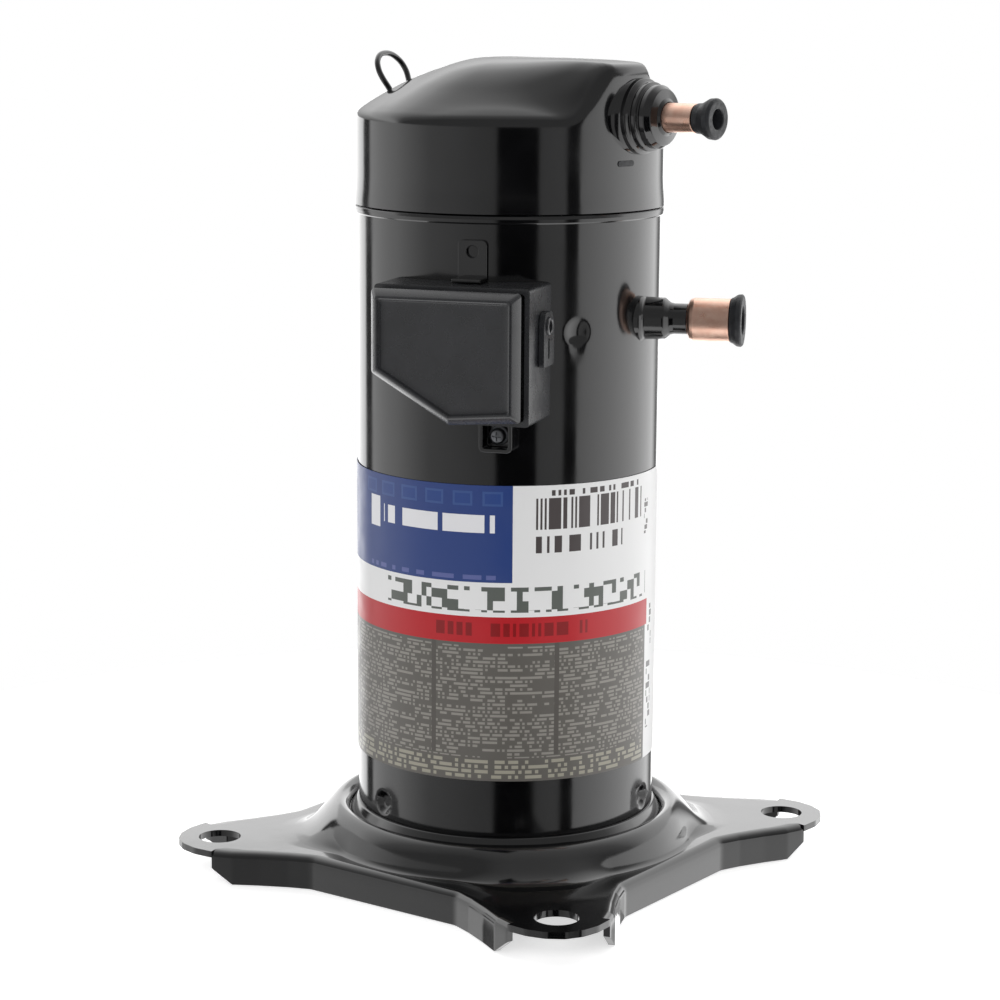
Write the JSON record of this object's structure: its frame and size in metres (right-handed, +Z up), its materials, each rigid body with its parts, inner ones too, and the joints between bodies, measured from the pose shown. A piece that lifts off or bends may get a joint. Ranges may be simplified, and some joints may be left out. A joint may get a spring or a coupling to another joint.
{
  "type": "scroll compressor",
  "caption": "Hermetic scroll compressor: upright black shell on a four-foot base, with copper suction and discharge stubs and a terminal box.",
  "frame": {"origin": "centre of the mounting base, on the floor, on the shell's axis", "axes": "+Z up along the shell, +X towards the discharge stub, sides of the square base along X and Y"},
  "size_m": [0.23, 0.23, 0.3755],
  "materials": {
    "black_paint": "glossy black paint over pressed steel",
    "label": "printed film label, satin",
    "copper": null,
    "plug_rubber": "moulded black rubber",
    "box_plastic": "moulded black plastic, satin",
    "steel": "machined steel",
    "pin_steel": "plated terminal pin",
    "glass_bead": "sealing glass",
    "lead_insulation": "insulated motor lead",
    "cast_iron": "machined grey cast iron",
    "lamination_steel": "stacked electrical steel",
    "winding_copper": "varnished magnet wire, laced",
    "cast_aluminium": "die-cast aluminium",
    "bearing_bronze": "sintered bronze bearing"
  },
  "bodies": {
    "housing": {"shell": "black_paint", "top_cap": "black_paint", "muffler_plate": "black_paint", "lower_cap": "black_paint", "mounting_base": "black_paint", "lifting_ring": "black_paint", "rating_label": "label", "discharge_fitting": "black_paint", "discharge_tube": "copper", "suction_fitting": "black_paint", "suction_tube": "copper", "terminal_box": "box_plastic", "cover_latch": "box_plastic", "box_bracket": "black_paint", "ground_bracket": "black_paint", "ground_screw": "steel", "terminal_cup": "steel", "terminal_bead_1": "glass_bead", "terminal_pin_1": "pin_steel", "terminal_bead_2": "glass_bead", "terminal_pin_2": "pin_steel", "terminal_bead_3": "glass_bead", "terminal_pin_3": "pin_steel", "motor_lead_1": "lead_insulation", "motor_lead_2": "lead_insulation", "motor_lead_3": "lead_insulation", "main_bearing_housing": "cast_iron", "main_bearing_bush": "bearing_bronze", "lower_bearing_bracket": "cast_iron", "lower_bearing_bush": "bearing_bronze", "thrust_washer": "bearing_bronze", "stator_core": "lamination_steel", "upper_winding": "winding_copper", "lower_winding": "winding_copper", "motor_protector": "box_plastic", "oil_magnet": "lamination_steel", "scroll_bolt_1": "steel", "scroll_bolt_2": "steel", "scroll_bolt_3": "steel", "scroll_bolt_4": "steel", "discharge_valve_cage": "steel"},
    "crankshaft_assembly": {"crankshaft": "steel", "rotor_core": "lamination_steel", "rotor_end_ring_upper": "cast_aluminium", "rotor_end_ring_lower": "cast_aluminium", "counterweight_upper": "steel", "counterweight_lower": "steel", "oil_pickup": "steel"},
    "drive_bushing": {"drive_bushing": "steel"},
    "orbiting_scroll": {"orbiting_scroll": "cast_iron", "drive_bearing": "bearing_bronze"},
    "oldham_coupling": {"oldham_coupling": "cast_aluminium"},
    "non_orbiting_scroll": {"non_orbiting_scroll": "cast_iron"},
    "floating_seal": {"floating_seal": "steel"},
    "discharge_valve_disc": {"discharge_valve_disc": "steel"},
    "terminal_cover": {"terminal_cover": "box_plastic"},
    "discharge_plug": {"discharge_plug": "plug_rubber"},
    "suction_plug": {"suction_plug": "plug_rubber"}
  },
  "joints": [
    {"name": "crank_spin", "type": "hinge", "parent": "housing", "child": "crankshaft_assembly", "pos_m": [0, 0, 0.1], "axis": [0, 0, 1], "continuous": true},
    {"name": "drive_bushing_slide", "type": "slide", "parent": "crankshaft_assembly", "child": "drive_bushing", "axis": [1, 0, 0], "range_m": [-0.0006, 0]},
    {"name": "scroll_orbit", "type": "hinge", "parent": "drive_bushing", "child": "orbiting_scroll", "pos_m": [0.00405, 0, 0.2425], "axis": [0, 0, 1], "continuous": true},
    {"name": "oldham_slide", "type": "slide", "parent": "housing", "child": "oldham_coupling", "axis": [0, 1, 0], "range_m": [-0.00405, 0.00405]},
    {"name": "scroll_float", "type": "slide", "parent": "housing", "child": "non_orbiting_scroll", "axis": [0, 0, 1], "range_m": [0, 0.001]},
    {"name": "seal_float", "type": "slide", "parent": "non_orbiting_scroll", "child": "floating_seal", "axis": [0, 0, 1], "range_m": [0, 0.0015]},
    {"name": "discharge_valve_lift", "type": "slide", "parent": "housing", "child": "discharge_valve_disc", "axis": [0, 0, 1], "range_m": [0, 0.004]},
    {"name": "cover_hinge", "type": "hinge", "parent": "housing", "child": "terminal_cover", "pos_m": [-0.00253, -0.09802, 0.25], "axis": [0, 0, -1], "range_deg": [0, 110]},
    {"name": "discharge_plug_pull", "type": "slide", "parent": "housing", "child": "discharge_plug", "axis": [1, 0, 0], "range_m": [0, 0.03]},
    {"name": "suction_plug_pull", "type": "slide", "parent": "housing", "child": "suction_plug", "axis": [0.9114, 0.4115, 0], "range_m": [0, 0.03]}
  ],
  "couplings": [
    {"joint": "scroll_orbit", "follows": "crank_spin", "ratio": -1}
  ]
}
